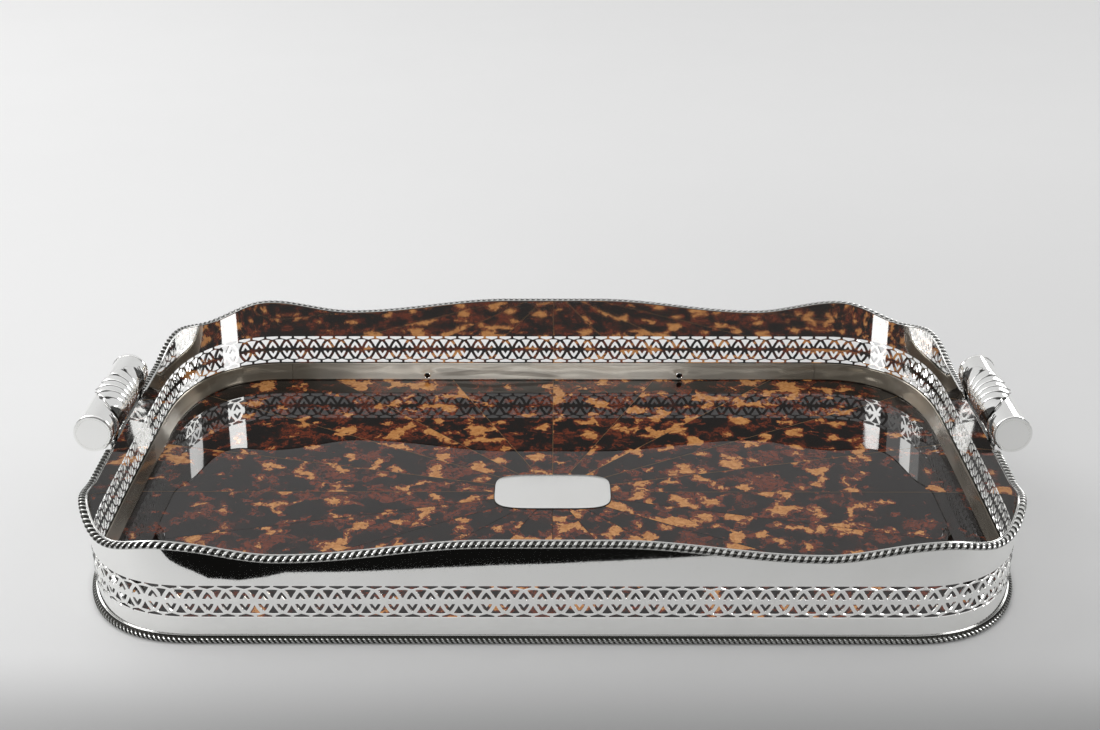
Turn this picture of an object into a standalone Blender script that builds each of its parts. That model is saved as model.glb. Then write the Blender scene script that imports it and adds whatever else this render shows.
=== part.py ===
"""Bar tray: a veneered bed in a pierced metal gallery with a wavy rim, and a leaf-mounted grip at each end.

Frame: metres, +Z up, +X along the tray, -Y towards the front. The origin is the middle of the footprint, on the
surface that the tray stands on. Run lengths are measured round the gallery's outer face, from the middle of the
front towards +X.
"""
import math

import bmesh
import bpy
import numpy as np

# Plan of the gallery's outer face at its foot
tray_length = 0.600
tray_width = 0.399
corner_length = 0.082
corner_width = 0.112
corner_fullness = 2.5
end_bow = 0.0025
plan_samples = 160

# Gallery wall
wall_thickness = 0.0010
wall_lift = 0.0003
wall_flare = 0.0015
rim_height = 0.0725
pierce_pitch = 0.0113
band_bottom = 0.0175
band_height = 0.0227

# Height of the wavy rim, as shares of rim_height, at shares of a quarter of the run
wave_place_shares = (0.0, 0.078, 0.356, 0.505, 0.606, 0.690, 0.802, 1.0)
wave_height_shares = (1.0, 1.0, 0.858, 0.979, 0.861, 0.946, 0.818, 0.818)

# One repeat of the piercing: a fan that points down over a fan that points up.
# Places along are shares of the pitch, places up are shares of the band's height.
fan_shares = ((-0.31, 0.88), (0.0, 0.57), (0.31, 0.88))

# Mouldings: outlines as shares of projection and height
rim_projection = 0.0043
rim_drop = 0.0045
rim_outline_shares = ((0.0, -1.0), (0.34, -1.0), (0.93, -0.62), (1.0, -0.28), (0.68, 0.0), (0.0, 0.0))
foot_projection = 0.0036
foot_height = 0.0065
foot_outline_shares = ((0.0, 0.0), (0.9, 0.0), (1.0, 0.22), (0.92, 0.55), (0.45, 1.0), (0.0, 1.0))
bead_projection = 0.0036
bead_height = 0.0130
bead_outline_shares = ((0.0, 0.0), (-1.0, 0.0), (-0.92, 0.12), (-0.12, 0.96), (0.0, 1.0))
moulding_step = 0.0115

# Bed of the tray. The seams and the name plate are centred on bed_centre_y.
bed_centre_y = -0.006
board_lift = 0.0004
board_thickness = 0.0020
veneer_thickness = 0.0005
seam_gap = 0.0003
seam_angle_shares = (0.0, 0.165, 0.345, 0.535, 0.75)
name_plate_length = 0.084
name_plate_width = 0.053
name_plate_fullness = 4.5
name_plate_rise = 0.0006
name_plate_dome = 0.0006
name_plate_inset = 0.003
plate_steps = 36
straight_share = 0.0005

# Pins
base_pin_radius_share = 0.2
base_pin_depth = 0.006
bead_pin_radius = 0.0008
bead_pin_place_share = 0.348
bead_pin_height_share = 0.3
bead_pin_head = 0.0006
bead_pin_head_radius = 0.0022
pin_places_share = 0.62

# Handles
grip_radius = 0.0129
grip_length = 0.109
grip_overhang = 0.0045
grip_clearance = 0.0010
grip_wall = 0.0008
cap_thickness = 0.0024
cap_lip = 0.0004
cap_groove = 0.0006
cap_spigot = 0.006
stud_radius = 0.0015
stud_depth = 0.010
stud_spacing = 0.040
mount_thickness = 0.0015
mount_skirt = 0.013
mount_half_width = 0.046
fan_half_width = 0.036
fan_wrap_low_share = 0.30
fan_wrap_high_share = 0.78
lobe_depth_share = 0.12
lobe_count = 7
end_leaf_turn = math.radians(38)
end_leaf_rows = 4
rim_stop = 0.050
columns_per_lobe = 3
wrap_rows = 7

# Clearances
touch_gap = 0.0003
cut_overrun = 0.0010
round_steps = 24

MODEL = "bar_tray"


def clear_scene():
    for obj in list(bpy.data.objects):
        bpy.data.objects.remove(obj, do_unlink=True)


def make_collection(name):
    group = bpy.data.collections.new(name)
    bpy.context.scene.collection.children.link(group)
    return group


def make_material(name, colour, roughness, metallic):
    material = bpy.data.materials.new(name)
    material.use_nodes = True
    shader = material.node_tree.nodes["Principled BSDF"]
    shader.inputs["Base Color"].default_value = (*colour, 1.0)
    shader.inputs["Roughness"].default_value = roughness
    shader.inputs["Metallic"].default_value = metallic
    return material


def mesh_from(name, bm):
    mesh = bpy.data.meshes.new(name)
    bm.to_mesh(mesh)
    bm.free()
    return mesh


def add_object(name, mesh, material, group):
    obj = bpy.data.objects.new(name, mesh)
    group.objects.link(obj)
    if material is not None:
        mesh.materials.append(material)
    return obj


def smooth(obj, angle=math.radians(35)):
    obj.data.shade_smooth()
    obj.data.set_sharp_from_angle(angle=angle)


class Plan:
    """The gallery's outer face seen from above: straight sides, superellipse corners and slightly bowed ends."""

    def __init__(self):
        half_l = tray_length / 2
        half_w = tray_width / 2
        t = np.linspace(0, math.pi / 2, plan_samples)
        power = 2 / corner_fullness
        corner_x = half_l - corner_length + corner_length * np.sin(t) ** power
        corner_y = half_w - corner_width + corner_width * np.maximum(np.cos(t), 0) ** power
        front_x = np.linspace(0, half_l - corner_length, plan_samples)[:-1]
        end_y = np.linspace(half_w - corner_width, 0, plan_samples)[1:]
        x = np.concatenate([front_x, corner_x, np.full_like(end_y, half_l)])
        y = np.concatenate([np.full_like(front_x, half_w), corner_y, end_y])
        x = x * (1 - end_bow / half_l * (y / half_w) ** 2)
        loop_x = np.concatenate([x, x[-2::-1], -x[1:], -x[-2::-1]])
        loop_y = np.concatenate([-y, y[-2::-1], y[1:], -y[-2::-1]])
        self.run = np.concatenate([[0.0], np.cumsum(np.hypot(np.diff(loop_x), np.diff(loop_y)))])
        self.x = loop_x
        self.y = loop_y
        self.length = float(self.run[-1])
        self.quarter = self.length / 4
        self.corner_start = float(self.run[plan_samples - 1])
        tangent_x = np.gradient(loop_x, self.run)
        tangent_y = np.gradient(loop_y, self.run)
        size = np.hypot(tangent_x, tangent_y)
        self.out_x = tangent_y / size
        self.out_y = -tangent_x / size

    def at(self, s, out=0.0):
        """Point at run length s, moved outwards by out."""
        s = np.mod(s, self.length)
        out_x = np.interp(s, self.run, self.out_x)
        out_y = np.interp(s, self.run, self.out_y)
        return np.interp(s, self.run, self.x) + out * out_x, np.interp(s, self.run, self.y) + out * out_y

    def outward(self, s):
        """Outward direction at run length s."""
        s = np.mod(s, self.length)
        return np.interp(s, self.run, self.out_x), np.interp(s, self.run, self.out_y)

    def radius(self, angle, out, centre_y):
        """Distance from (0, centre_y) to the outline moved outwards by out, in the direction angle."""
        x, y = self.at(self.run, out)
        y = y - centre_y
        around = np.unwrap(np.arctan2(y, x))
        return np.interp(np.mod(angle - around[0], 2 * math.pi) + around[0], around, np.hypot(x, y))

    def rim(self, s):
        """Height of the wavy rim at run length s: cosine blends between the named crests and dips."""
        place = np.abs(np.mod(s + self.quarter, 2 * self.quarter) - self.quarter) / self.quarter
        places = np.array(wave_place_shares)
        heights = np.array(wave_height_shares) * rim_height
        i = np.clip(np.searchsorted(places, place, side="right") - 1, 0, len(places) - 2)
        t = (place - places[i]) / (places[i + 1] - places[i])
        return heights[i] + (heights[i + 1] - heights[i]) * (1 - np.cos(math.pi * t)) / 2


def lean(z):
    """Outward lean of the wall at height z."""
    return wall_flare * z / rim_height


def tile_loops():
    """Outlines of one pierced repeat, in shares of the pitch along and wall levels up.

    Levels are 0 at the wall's foot, 1 at the band's bottom, 2 at its top and 3 at the rim.
    """
    half = 0.5
    frame = ((-half, 0.0), (half, 0.0), (half, 3.0), (-half, 3.0))
    upper = tuple((u, 1.0 + v) for u, v in fan_shares)
    lower = tuple((u, 2.0 - v) for u, v in reversed(fan_shares))
    return frame, upper, lower


def pierced_strip(count):
    """Flat pierced strip of count repeats, in the units of tile_loops, with its faces turned towards +Z."""
    strip = bmesh.new()
    for k in range(count):
        edges = []
        for loop in tile_loops():
            ring = [strip.verts.new((k + u, v, 0.0)) for u, v in loop]
            edges += [strip.edges.new((a, b)) for a, b in zip(ring, ring[1:] + ring[:1])]
        bmesh.ops.triangle_fill(strip, use_beauty=True, edges=edges)
    bmesh.ops.remove_doubles(strip, verts=strip.verts, dist=0.001)
    strip.normal_update()
    for face in strip.faces:
        if face.normal.z < 0:
            face.normal_flip()
    return strip


def gallery_section(name, plan, first, count, pitch, material, group):
    """Pierced wall from repeat first on: the flat strip is laid round the plan and its top follows the wavy rim."""
    strip = pierced_strip(count)
    start = (first - 0.5) * pitch + touch_gap / 2
    stop = (first + count - 0.5) * pitch - touch_gap / 2
    for vert in strip.verts:
        s = min(max((first + vert.co.x) * pitch, start), stop)
        levels = (wall_lift, band_bottom, band_bottom + band_height, float(plan.rim(s)))
        z = float(np.interp(vert.co.y, (0, 1, 2, 3), levels))
        x, y = plan.at(s, lean(z))
        vert.co = (float(x), float(y), z)
    obj = add_object(name, mesh_from(name, strip), material, group)
    shell = obj.modifiers.new("thickness", "SOLIDIFY")
    shell.thickness = wall_thickness
    shell.offset = -1
    shell.use_even_offset = True
    return obj


def swept(name, plan, outline, start, stop, base_out, base_z, step, material, group):
    """Moulding: the outline (out, up) carried along the plan from start to stop, on the height base_z(s)."""
    count = max(1, math.ceil((stop - start) / step))
    solid = bmesh.new()
    rings = []
    for s in np.linspace(start + touch_gap / 2, stop - touch_gap / 2, count + 1):
        low = float(base_z(s))
        ring = []
        for out, up in outline:
            x, y = plan.at(s, base_out + lean(low) + out)
            ring.append(solid.verts.new((float(x), float(y), low + up)))
        rings.append(ring)
    for a, b in zip(rings, rings[1:]):
        for i in range(len(outline)):
            j = (i + 1) % len(outline)
            solid.faces.new((a[i], a[j], b[j], b[i]))
    solid.faces.new(rings[0][::-1])
    solid.faces.new(rings[-1])
    bmesh.ops.recalc_face_normals(solid, faces=solid.faces)
    obj = add_object(name, mesh_from(name, solid), material, group)
    smooth(obj)
    return obj


def scaled(shares, wide, high):
    return [(u * wide, v * high) for u, v in shares]


def corners_only(points):
    """The outline without the points that lie on a straight run."""
    points = np.array(points)
    before = points - np.roll(points, 1, axis=0)
    after = np.roll(points, -1, axis=0) - points
    bend = np.abs(before[:, 0] * after[:, 1] - before[:, 1] * after[:, 0])
    return points[bend > straight_share * np.hypot(*before.T) * np.hypot(*after.T)].tolist()


def flat_plate(name, points, low, thickness, material, group):
    """Flat plate with the outline points, from height low up: a filled 2D curve, extruded and made a mesh."""
    points = corners_only(points)
    curve = bpy.data.curves.new(name + "_outline", "CURVE")
    curve.dimensions = "2D"
    curve.fill_mode = "BOTH"
    curve.extrude = thickness / 2
    spline = curve.splines.new("POLY")
    spline.points.add(len(points) - 1)
    for point, (x, y) in zip(spline.points, points):
        point.co = (x, y, 0.0, 1.0)
    spline.use_cyclic_u = True
    guide = bpy.data.objects.new(name + "_outline", curve)
    guide.location.z = low + thickness / 2
    group.objects.link(guide)
    bpy.context.view_layer.update()
    evaluated = guide.evaluated_get(bpy.context.evaluated_depsgraph_get())
    solid = bmesh.new()
    solid.from_mesh(bpy.data.meshes.new_from_object(evaluated))
    bmesh.ops.remove_doubles(solid, verts=solid.verts, dist=seam_gap / 10)
    bmesh.ops.recalc_face_normals(solid, faces=solid.faces)
    obj = add_object(name, mesh_from(name, solid), material, group)
    obj.matrix_world = guide.matrix_world
    bpy.data.objects.remove(guide, do_unlink=True)
    return obj


def superellipse_radius(angle, length, width, fullness):
    """Distance from the middle to a superellipse outline in the direction angle."""
    a = np.abs(np.cos(angle) / (length / 2)) ** fullness
    b = np.abs(np.sin(angle) / (width / 2)) ** fullness
    return (a + b) ** (-1 / fullness)


def drilled(obj, cutter, name):
    cut = obj.modifiers.new(name, "BOOLEAN")
    cut.operation = "DIFFERENCE"
    cut.object = cutter
    cut.solver = "EXACT"


def rod(name, start, direction, length, radius, material, group):
    """Round rod from start along direction."""
    solid = bmesh.new()
    bmesh.ops.create_cone(solid, cap_ends=True, segments=round_steps // 2, radius1=radius, radius2=radius,
                          depth=length)
    obj = add_object(name, mesh_from(name, solid), material, group)
    smooth(obj)
    direction = np.array(direction, float) / np.linalg.norm(direction)
    turn = math.atan2(direction[1], direction[0])
    obj.rotation_euler = (0.0, math.pi / 2, turn)
    obj.location = np.array(start, float) + direction * length / 2
    return obj


def hide_cutter(obj):
    obj.hide_render = True
    obj.display_type = "WIRE"


def turned(name, profile, material, group, steps=round_steps):
    """Turned piece about its own Z axis; the profile (radius, z) runs down the outer side first."""
    line = bmesh.new()
    verts = [line.verts.new((r, 0.0, z)) for r, z in profile]
    for a, b in zip(verts, verts[1:]):
        line.edges.new((a, b))
    closed = profile[0][0] > 0
    if closed:
        line.edges.new((verts[-1], verts[0]))
    obj = add_object(name, mesh_from(name, line), material, group)
    screw = obj.modifiers.new("turned", "SCREW")
    screw.axis = "Z"
    screw.steps = steps
    screw.render_steps = steps
    screw.use_merge_vertices = True
    screw.merge_threshold = seam_gap / 10
    screw.use_smooth_shade = True
    return obj


def make_gallery(plan, silver, group):
    repeats = 4 * max(1, round(plan.quarter / pierce_pitch))
    pitch = plan.length / repeats
    straight = max(0, math.floor(plan.corner_start / pitch - 0.5))
    long_count = 2 * straight + 1
    end_count = (repeats - 2 * long_count) // 2
    sections = {}
    first = -straight
    for name, count in (("front", long_count), ("right_end", end_count), ("back", long_count),
                        ("left_end", end_count)):
        sections[name] = gallery_section("gallery_" + name, plan, first, count, pitch, silver, group)
        first += count
    long_half = (straight + 0.5) * pitch
    return sections, long_half


def side_runs(plan, long_half):
    """Start and stop of the four sections of wall, bead and foot moulding."""
    half = plan.length / 2
    return {"front": (-long_half, long_half), "right_end": (long_half, half - long_half),
            "back": (half - long_half, half + long_half), "left_end": (half + long_half, 2 * half - long_half)}


def make_mouldings(plan, long_half, silver, group):
    beads = {}
    for name, (start, stop) in side_runs(plan, long_half).items():
        step = moulding_step if name.endswith("end") else stop - start
        swept("foot_moulding_" + name, plan, scaled(foot_outline_shares, foot_projection, foot_height), start, stop,
              touch_gap, lambda s: 0.0, step, silver, group)
        beads[name] = swept("panel_bead_" + name, plan, scaled(bead_outline_shares, bead_projection, bead_height),
                            start, stop, -wall_thickness - touch_gap, lambda s: veneer_top() + touch_gap, step,
                            silver, group)
    for name, middle in (("front", 0.0), ("back", plan.length / 2)):
        reach = plan.quarter - rim_stop
        swept("rim_moulding_" + name, plan, scaled(rim_outline_shares, rim_projection, rim_drop), middle - reach,
              middle + reach, touch_gap, plan.rim, moulding_step, silver, group)
    return beads


def veneer_low():
    return board_lift + board_thickness + touch_gap


def veneer_top():
    return veneer_low() + veneer_thickness


def make_bed(plan, wood, shell, silver, group):
    inset = -wall_thickness - touch_gap
    count = 4 * round(plan.quarter / moulding_step)
    places = np.arange(count) * plan.length / count
    x, y = plan.at(places, inset)
    board = flat_plate("base_board", list(zip(x, y)), board_lift, board_thickness, wood, group)

    quadrant = [share * math.pi / 2 for share in seam_angle_shares]
    seams = sorted(quadrant[1:] + [math.pi - a for a in quadrant] + [math.pi + a for a in quadrant[1:]]
                   + [2 * math.pi - a for a in quadrant] + [math.pi / 2, 3 * math.pi / 2])
    seams = seams + [seams[0] + 2 * math.pi]
    hole = 2 * touch_gap
    for k, (low, high) in enumerate(zip(seams, seams[1:])):
        steps = max(2, round((high - low) * tray_length / 2 / (2 * moulding_step)))
        angles = np.linspace(low, high, steps + 1)
        shift = np.linspace(1, -1, steps + 1) * seam_gap / 2
        outer = plan.radius(angles, inset, bed_centre_y)
        inner = superellipse_radius(angles, name_plate_length + hole, name_plate_width + hole, name_plate_fullness)
        points = [(r * math.cos(a + d / r), r * math.sin(a + d / r)) for a, d, r in zip(angles, shift, outer)]
        points += [(r * math.cos(a + d / r), r * math.sin(a + d / r)) for a, d, r in zip(angles, shift, inner)][::-1]
        points = [(px, bed_centre_y + py) for px, py in points]
        flat_plate("veneer_panel_%02d" % (k + 1), points, veneer_low(), veneer_thickness, shell, group)
    make_name_plate(silver, group)
    return board


def make_name_plate(silver, group):
    """Blank plate let into the veneer, its face domed by insetting the top twice."""
    angles = np.linspace(0, 2 * math.pi, plate_steps, endpoint=False)
    radii = superellipse_radius(angles, name_plate_length, name_plate_width, name_plate_fullness)
    solid = bmesh.new()
    outline = zip(radii * np.cos(angles), bed_centre_y + radii * np.sin(angles))
    ring = [solid.verts.new((float(x), float(y), veneer_low())) for x, y in outline]
    face = solid.faces.new(ring)
    top = bmesh.ops.extrude_face_region(solid, geom=[face])
    bmesh.ops.translate(solid, verts=[v for v in top["geom"] if isinstance(v, bmesh.types.BMVert)],
                        vec=(0, 0, veneer_thickness + name_plate_rise))
    lid = [f for f in top["geom"] if isinstance(f, bmesh.types.BMFace)]
    bmesh.ops.inset_region(solid, faces=lid, thickness=name_plate_inset, depth=name_plate_dome / 2)
    bmesh.ops.inset_region(solid, faces=lid, thickness=2 * name_plate_inset, depth=name_plate_dome / 2)
    bmesh.ops.recalc_face_normals(solid, faces=solid.faces)
    obj = add_object("name_plate", mesh_from("name_plate", solid), silver, group)
    smooth(obj)


def make_pins(plan, long_half, sections, beads, board, silver, group, cutters):
    """Hidden pins through the wall's foot into the board's edge, and a seen one through bead and wall."""
    radius = board_thickness * base_pin_radius_share
    height = board_lift + board_thickness / 2
    reach = pin_places_share * long_half
    half = plan.length / 2
    places = [("front", -reach), ("front", reach), ("right_end", plan.quarter), ("back", half - reach),
              ("back", half + reach), ("left_end", half + plan.quarter)]
    for k, (side, s) in enumerate(places):
        out_x, out_y = plan.outward(s)
        inwards = (-float(out_x), -float(out_y), 0.0)
        x, y = plan.at(s, -touch_gap)
        rod("base_pin_%02d" % (k + 1), (float(x), float(y), height), inwards, base_pin_depth, radius, silver, group)
        x, y = plan.at(s, cut_overrun)
        cutter = rod("base_pin_cut_%02d" % (k + 1), (float(x), float(y), height), inwards,
                     base_pin_depth + 2 * touch_gap + cut_overrun, radius + touch_gap, None, cutters)
        hide_cutter(cutter)
        drilled(sections[side], cutter, "pin_hole_%02d" % (k + 1))
        drilled(board, cutter, "pin_hole_%02d" % (k + 1))
    reach = bead_pin_place_share * tray_length / 2
    height = veneer_top() + touch_gap + bead_height * bead_pin_height_share
    shaft = wall_thickness + bead_projection + 2 * touch_gap
    length = shaft + bead_pin_head
    profile = [(0.0, length), (bead_pin_head_radius / 2, length), (bead_pin_head_radius, shaft),
               (bead_pin_radius, shaft), (bead_pin_radius, 0.0), (0.0, 0.0)]
    for side, end, s in (("front", "left", -reach), ("front", "right", reach), ("back", "right", half - reach),
                         ("back", "left", half + reach)):
        out_x, out_y = plan.outward(s)
        inwards = (-float(out_x), -float(out_y), 0.0)
        x, y = plan.at(s, 0.0)
        pin = turned("bead_pin_%s_%s" % (side, end), profile, silver, group, round_steps // 2)
        pin.rotation_euler = (0.0, math.pi / 2, math.atan2(inwards[1], inwards[0]))
        pin.location = (float(x), float(y), height)
        x, y = plan.at(s, cut_overrun)
        cutter = rod("bead_pin_cut_%s_%s" % (side, end), (float(x), float(y), height), inwards,
                     length + 2 * cut_overrun, bead_pin_radius + touch_gap, None, cutters)
        hide_cutter(cutter)
        drilled(sections[side], cutter, "bead_pin_hole_" + end)
        drilled(beads[side], cutter, "bead_pin_hole_" + end)


def mount_bend():
    """Place along X of the leaf mount's wall side, and the height where its plate bends in over the wall."""
    wall_top = wave_height_shares[-1] * rim_height
    return tray_length / 2 + lean(wall_top) + touch_gap, wall_top + mount_thickness


def grip_axis():
    """Place along X and height of the grip's axis, and the turn round it where the leaf mount's plate meets the grip.

    The grip reaches in over the wall by grip_overhang and clears the plate's bend by grip_clearance. From the bend
    the plate runs straight, along the tangent to the grip. Turns start at the grip's inner side and grow upwards.
    """
    wall_side, bend = mount_bend()
    reach = grip_radius + touch_gap
    far = reach + grip_clearance
    across = reach - grip_overhang
    up = math.sqrt(far ** 2 - across ** 2)
    meet = math.acos(reach / far) - math.atan2(up, across)
    return wall_side + mount_thickness + across, bend + up, meet


def leaf_fan():
    """Places along the grip of the leaf fan's columns, and the turns of their rows round the grip.

    The fan's edge is lobed: the last row falls back between the lobes.
    """
    meet = grip_axis()[2]
    places = np.linspace(-fan_half_width, fan_half_width, lobe_count * columns_per_lobe + 1)
    across = np.abs(places) / fan_half_width
    wrap = fan_wrap_low_share + (fan_wrap_high_share - fan_wrap_low_share) * (1 - across ** 1.5)
    turns = meet + np.outer(math.pi * wrap - meet, np.linspace(0, 1, wrap_rows + 1))
    ripple = np.abs(np.cos(math.pi * lobe_count * places / (2 * fan_half_width)))
    turns[:, -1] *= 1 - lobe_depth_share * (1 - ripple)
    return places, turns


def leaf_radius(turns):
    """Inner radius of the fan round the grip, at which its flat faces clear the grip."""
    steepest = max(np.abs(turns[1:, 1:] - turns[:-1, :-1]).max(), np.abs(turns[1:, :-1] - turns[:-1, 1:]).max())
    return (grip_radius + touch_gap) / math.cos(steepest / 2)


def make_leaf_mount(name, silver, group):
    """Leaf mount of the right handle: a plate on the wall's outside that bends in and wraps round the grip.

    The skirt is flat on the wall. Above it is the fan with its lobed edge, and a pointed leaf at each end.
    """
    wall_side, bend = mount_bend()
    axis_x, axis_z, meet = grip_axis()
    face_x = wall_side + mount_thickness
    places, turns = leaf_fan()
    inner = leaf_radius(turns)
    low = bend - mount_skirt
    leaf = bmesh.new()

    def round_grip(y, turn):
        return leaf.verts.new((axis_x - inner * math.cos(turn), y, axis_z + inner * math.sin(turn)))

    def join(a, b):
        for j in range(min(len(a), len(b)) - 1):
            leaf.faces.new((a[j], a[j + 1], b[j + 1], b[j]))

    grid = []
    for y, row in zip(places, turns):
        column = [leaf.verts.new((face_x, y, z)) for z in (low, bend)]
        grid.append(column + [round_grip(y, turn) for turn in row])
    for a, b in zip(grid, grid[1:]):
        join(a, b)
    for side, edge in ((-1, grid[0][:2]), (1, grid[-1][:2])):
        half = (mount_half_width - fan_half_width) / 2
        middle = side * (mount_half_width - half)
        skirt = [edge] + [[leaf.verts.new((face_x, y, z)) for z in (low, bend)]
                          for y in (middle, side * mount_half_width)]
        row = [column[1] for column in skirt]
        for a, b in zip(skirt, skirt[1:]):
            join(a, b)
        for k in range(end_leaf_rows):
            turn = meet + (end_leaf_turn - meet) * k / end_leaf_rows
            reach = half * (1 - (k + 1) / (end_leaf_rows + 1))
            higher = [round_grip(middle + side * across * reach, turn) for across in (-1, 0, 1)]
            join(row, higher)
            row = higher
        tip = round_grip(middle, end_leaf_turn)
        for a, b in zip(row, row[1:]):
            leaf.faces.new((a, b, tip))
    bmesh.ops.recalc_face_normals(leaf, faces=leaf.faces)
    leaf.normal_update()
    if grid[0][0].link_faces[0].normal.x > 0:
        bmesh.ops.reverse_faces(leaf, faces=leaf.faces)
    obj = add_object(name, mesh_from(name, leaf), silver, group)
    shell = obj.modifiers.new("thickness", "SOLIDIFY")
    shell.thickness = mount_thickness
    shell.offset = 1
    shell.use_even_offset = True
    smooth(obj)
    return obj


def make_handle(side, turn, silver, wood, group, cutters):
    """One handle. It is made for the right end and turned about the tray's middle."""
    axis_x, axis_z, _ = grip_axis()
    pivot = bpy.data.objects.new(side + "_handle", None)
    group.objects.link(pivot)
    pivot.rotation_euler.z = turn

    tube_half = grip_length / 2 - cap_thickness - touch_gap
    bore = grip_radius - grip_wall
    tube = turned(side + "_grip_tube", [(grip_radius, tube_half), (grip_radius, -tube_half), (bore, -tube_half),
                                        (bore, tube_half)], silver, group)
    spigot = bore - touch_gap
    core_half = grip_length / 2 - cap_thickness - cap_spigot - touch_gap
    core = turned(side + "_grip_core", [(0.0, core_half), (spigot, core_half), (spigot, -core_half),
                                        (0.0, -core_half)], wood, group)
    rim = grip_radius + cap_lip
    caps = []
    for end, flip in (("front", 1), ("rear", -1)):
        cap = turned(side + "_grip_cap_" + end,
                     [(0.0, cap_thickness), (rim - cap_groove, cap_thickness), (rim, cap_thickness - cap_groove),
                      (rim, 0.0), (spigot, 0.0), (spigot, -cap_spigot), (0.0, -cap_spigot)], silver, group)
        cap.rotation_euler.x = flip * math.pi / 2
        cap.location = (axis_x, -flip * (grip_length / 2 - cap_thickness), axis_z)
        caps.append(cap)
    for piece in (tube, core):
        piece.rotation_euler.x = math.pi / 2
        piece.location = (axis_x, 0.0, axis_z)
    mount = make_leaf_mount(side + "_leaf_mount", silver, group)
    studs = []
    for end, place in (("front", -stud_spacing / 2), ("rear", stud_spacing / 2)):
        start = (axis_x - grip_radius, place, axis_z)
        studs.append(rod(side + "_grip_stud_" + end, start, (1, 0, 0), stud_depth, stud_radius, silver, group))
        before = (axis_x - grip_radius - cut_overrun, place, axis_z)
        cutter = rod(side + "_stud_cut_" + end, before, (1, 0, 0), stud_depth + cut_overrun + touch_gap,
                     stud_radius + touch_gap, None, cutters)
        hide_cutter(cutter)
        cutter.parent = pivot
        drilled(tube, cutter, "stud_hole_" + end)
        drilled(core, cutter, "stud_hole_" + end)
    for piece in (tube, core, mount, *caps, *studs):
        piece.parent = pivot


def main():
    clear_scene()
    group = make_collection(MODEL)
    cutters = make_collection(MODEL + "_cutters")
    silver = make_material("silver_plate", (0.80, 0.80, 0.78), 0.12, 1.0)
    shell = make_material("mottled_veneer", (0.16, 0.06, 0.025), 0.08, 0.0)
    wood = make_material("board_wood", (0.30, 0.19, 0.11), 0.6, 0.0)
    plan = Plan()
    sections, long_half = make_gallery(plan, silver, group)
    beads = make_mouldings(plan, long_half, silver, group)
    board = make_bed(plan, wood, shell, silver, group)
    make_pins(plan, long_half, sections, beads, board, silver, group, cutters)
    make_handle("right", 0.0, silver, wood, group, cutters)
    make_handle("left", math.pi, silver, wood, group, cutters)


main()
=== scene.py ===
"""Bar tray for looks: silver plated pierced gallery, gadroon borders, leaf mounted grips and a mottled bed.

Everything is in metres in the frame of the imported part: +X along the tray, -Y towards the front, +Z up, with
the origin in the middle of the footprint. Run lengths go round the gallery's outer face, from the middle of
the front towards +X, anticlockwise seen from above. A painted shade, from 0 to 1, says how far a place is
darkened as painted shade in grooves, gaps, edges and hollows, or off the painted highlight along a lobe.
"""
import math

import bpy
import numpy as np
from mathutils import Matrix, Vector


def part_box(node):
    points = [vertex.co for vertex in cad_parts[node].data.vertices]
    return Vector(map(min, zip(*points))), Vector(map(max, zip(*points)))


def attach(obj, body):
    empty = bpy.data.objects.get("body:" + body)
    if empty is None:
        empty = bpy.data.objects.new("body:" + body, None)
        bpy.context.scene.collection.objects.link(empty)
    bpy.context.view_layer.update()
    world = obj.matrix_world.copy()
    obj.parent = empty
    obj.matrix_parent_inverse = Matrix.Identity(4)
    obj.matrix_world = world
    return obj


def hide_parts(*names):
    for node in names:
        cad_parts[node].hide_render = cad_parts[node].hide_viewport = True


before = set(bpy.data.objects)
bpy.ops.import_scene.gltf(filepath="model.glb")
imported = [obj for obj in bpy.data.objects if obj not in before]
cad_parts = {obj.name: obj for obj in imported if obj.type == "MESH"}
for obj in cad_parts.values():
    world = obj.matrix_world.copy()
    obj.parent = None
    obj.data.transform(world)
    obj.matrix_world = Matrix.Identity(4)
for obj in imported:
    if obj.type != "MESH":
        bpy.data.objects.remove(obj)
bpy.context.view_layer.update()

# Plan of the gallery's outer face at its foot
tray_length = 0.600
tray_width = 0.399
corner_length = 0.082
corner_width = 0.112
corner_fullness = 2.5
end_bow = 0.0025
plan_samples = 600

# Gallery wall and its wavy rim. Crests and dips are shares of a quarter of the run and of the rim's height.
wall_thickness = 0.0010
wall_lift = 0.0003
wall_flare = 0.0015
rim_height = 0.0725
wave_place_shares = (0.0, 0.078, 0.356, 0.505, 0.606, 0.690, 0.802, 1.0)
wave_height_shares = (1.0, 1.0, 0.858, 0.979, 0.861, 0.946, 0.818, 0.818)
rim_cover = 0.0010

# Pierced band. Outlines are shares of the pitch along and of the band's height up. Each gives the right half,
# from top to bottom, of an opening (hole) or of the metal round it (border) in the band's upper half.
# The left half is its mirror image, and the band's lower half is the upper half upside down.
repeats = 164
band_bottom = 0.0175
band_height = 0.0227
sheet_edge_share = 0.02
slit_middle_share = 0.0
slit_border_shares = ((0, 1.02), (.25, 1.02), (.5, 1.02), (.5, .915), (.22, .888), (0, .837))
slit_hole_shares = ((0, 1), (.2, 1), (.415, .997), (.41, .935), (.2, .902), (0, .872))
fan_middle_share = 0.5
fan_border_shares = ((0, .915), (.28, .888), (.5, .837), (.38, .83), (.265, .765), (.20, .71), (.155, .65),
                     (.105, .575), (0, .5))
fan_hole_shares = ((0, .884), (.23, .877), (.30, .864), (.275, .838), (.21, .785), (.14, .735), (.088, .69),
                   (.043, .643), (0, .605))
chevron_middle_share = 0.0
chevron_border_shares = ((0, .837), (.12, .83), (.235, .765), (.30, .71), (.345, .65), (.395, .575), (.5, .5),
                         (.25, .5), (0, .5))
chevron_hole_shares = ((0, .805), (.055, .78), (.125, .735), (.195, .683), (.25, .63), (.285, .59),
                       (.30, .563), (.148, .56), (0, .672))
sheet_column_share = 0.25
upper_rows = 5
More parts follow.
